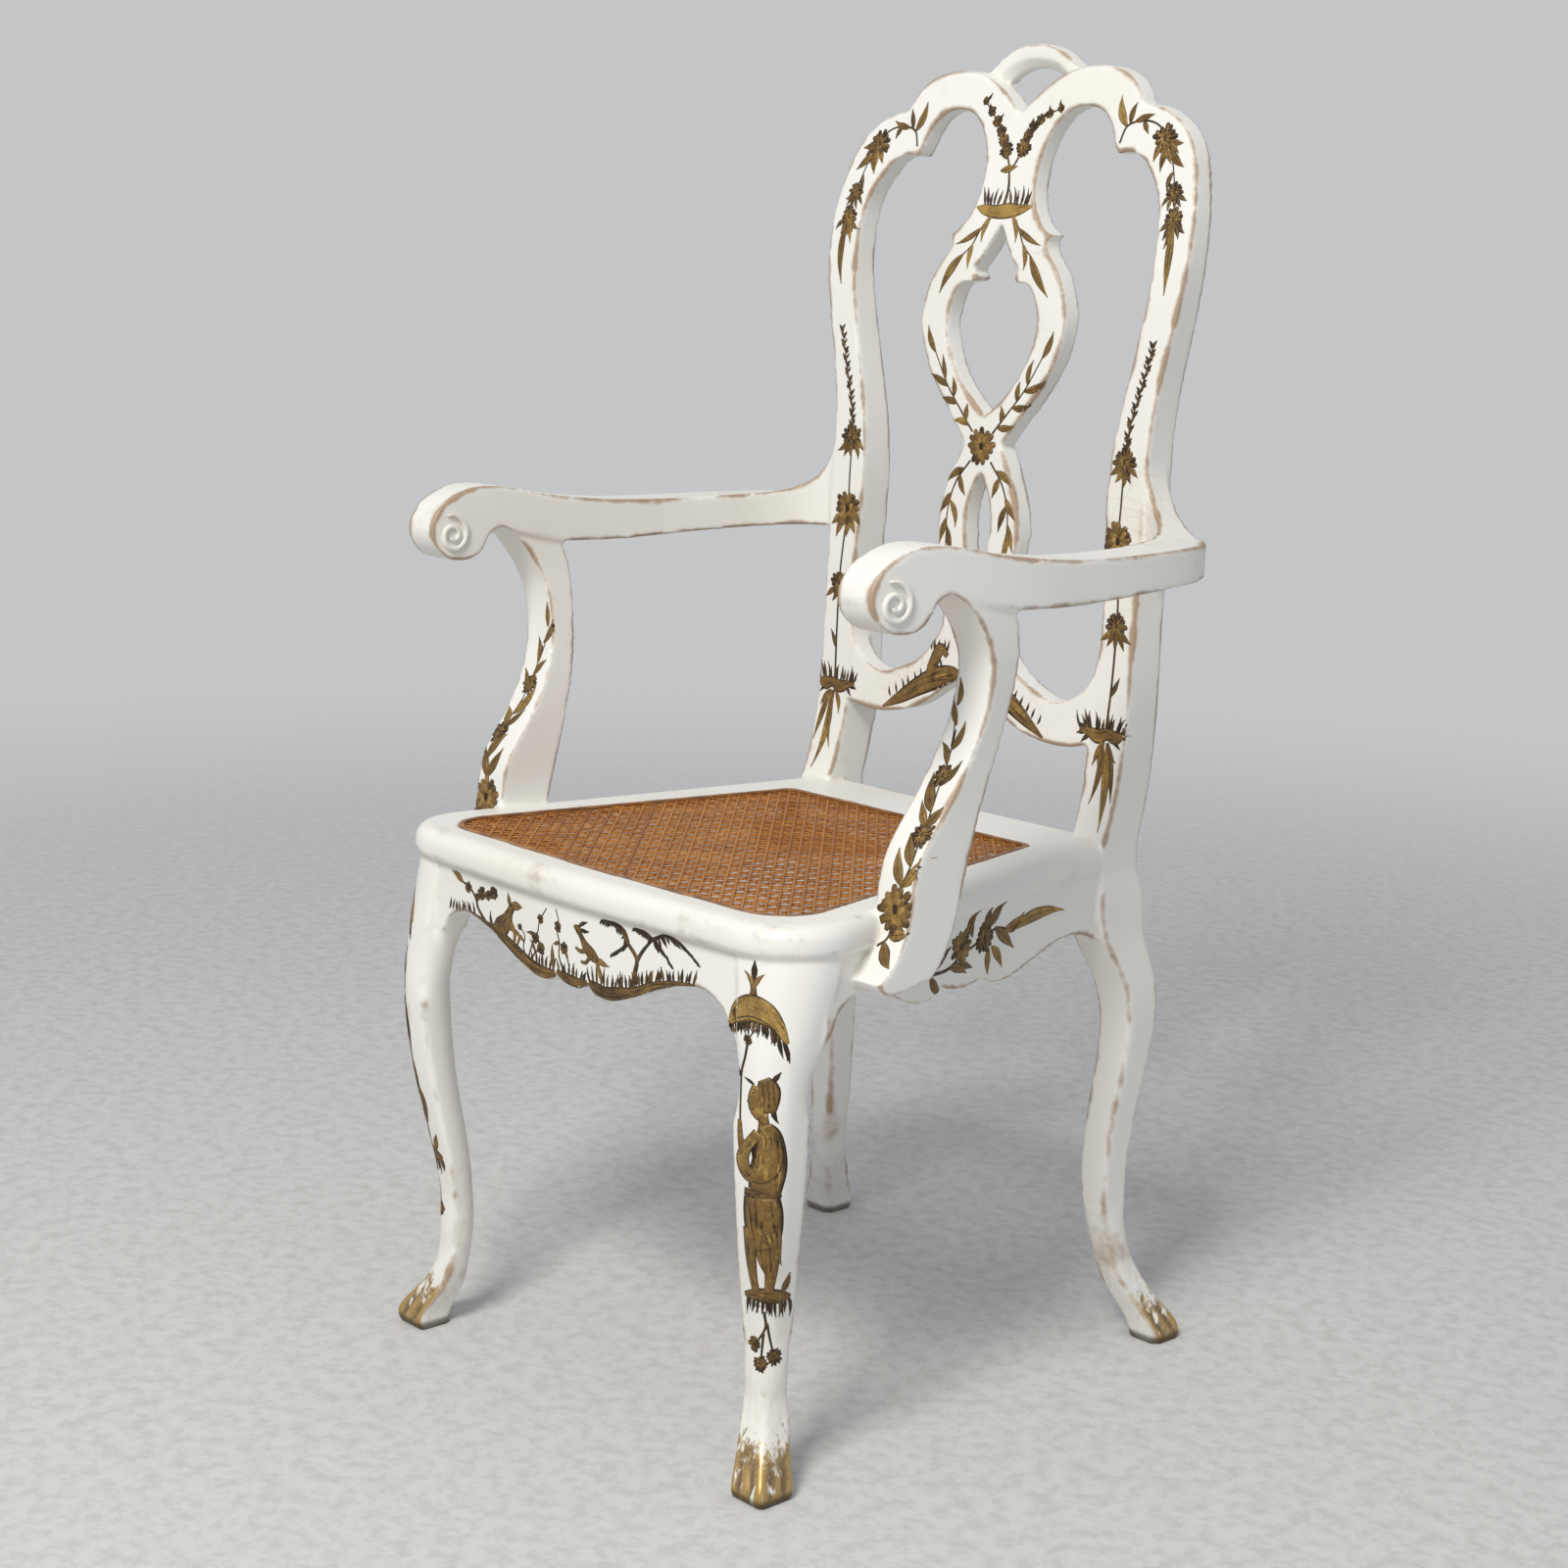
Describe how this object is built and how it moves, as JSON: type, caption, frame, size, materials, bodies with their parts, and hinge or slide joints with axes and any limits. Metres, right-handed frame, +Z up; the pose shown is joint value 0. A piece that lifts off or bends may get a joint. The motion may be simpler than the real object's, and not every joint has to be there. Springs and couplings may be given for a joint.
{
  "type": "armchair",
  "caption": "Open armchair with a pierced ribbon back, scrolled arms on curved supports, a caned seat, shaped aprons and splayed cabriole legs, in worn white lacquer with gilt painting.",
  "frame": {"origin": "on the floor, in the middle of the chair's width and depth", "axes": "+Z up, the sitter faces -Y, +X towards the sitter's left"},
  "size_m": [0.588, 0.524, 1.114],
  "materials": {
    "white_lacquer": "white lacquer rubbed at the edges, with gilt painted decoration",
    "bare_beech": "bare wood",
    "woven_cane": "stained woven cane",
    "screw_steel": "plain steel"
  },
  "bodies": {
    "root": {"front_leg_right": "white_lacquer", "front_leg_left": "white_lacquer", "rear_post_right": "white_lacquer", "rear_post_left": "white_lacquer", "front_apron": "white_lacquer", "side_apron_right": "white_lacquer", "side_apron_left": "white_lacquer", "rear_apron": "white_lacquer", "seat_frame_front": "white_lacquer", "seat_frame_right": "white_lacquer", "seat_frame_left": "white_lacquer", "seat_frame_rear": "white_lacquer", "lower_back_rail": "white_lacquer", "splat": "white_lacquer", "crest_rail": "white_lacquer", "crest_arch": "white_lacquer", "arm_right": "white_lacquer", "arm_left": "white_lacquer", "arm_support_right": "white_lacquer", "arm_support_left": "white_lacquer", "corner_block_front_right": "bare_beech", "corner_block_front_left": "bare_beech", "corner_block_rear_right": "bare_beech", "corner_block_rear_left": "bare_beech", "joint_dowels": "bare_beech", "cane_panel": "woven_cane", "cane_spline": "woven_cane", "corner_block_screws": "screw_steel", "arm_support_screws": "screw_steel"}
  },
  "joints": []
}
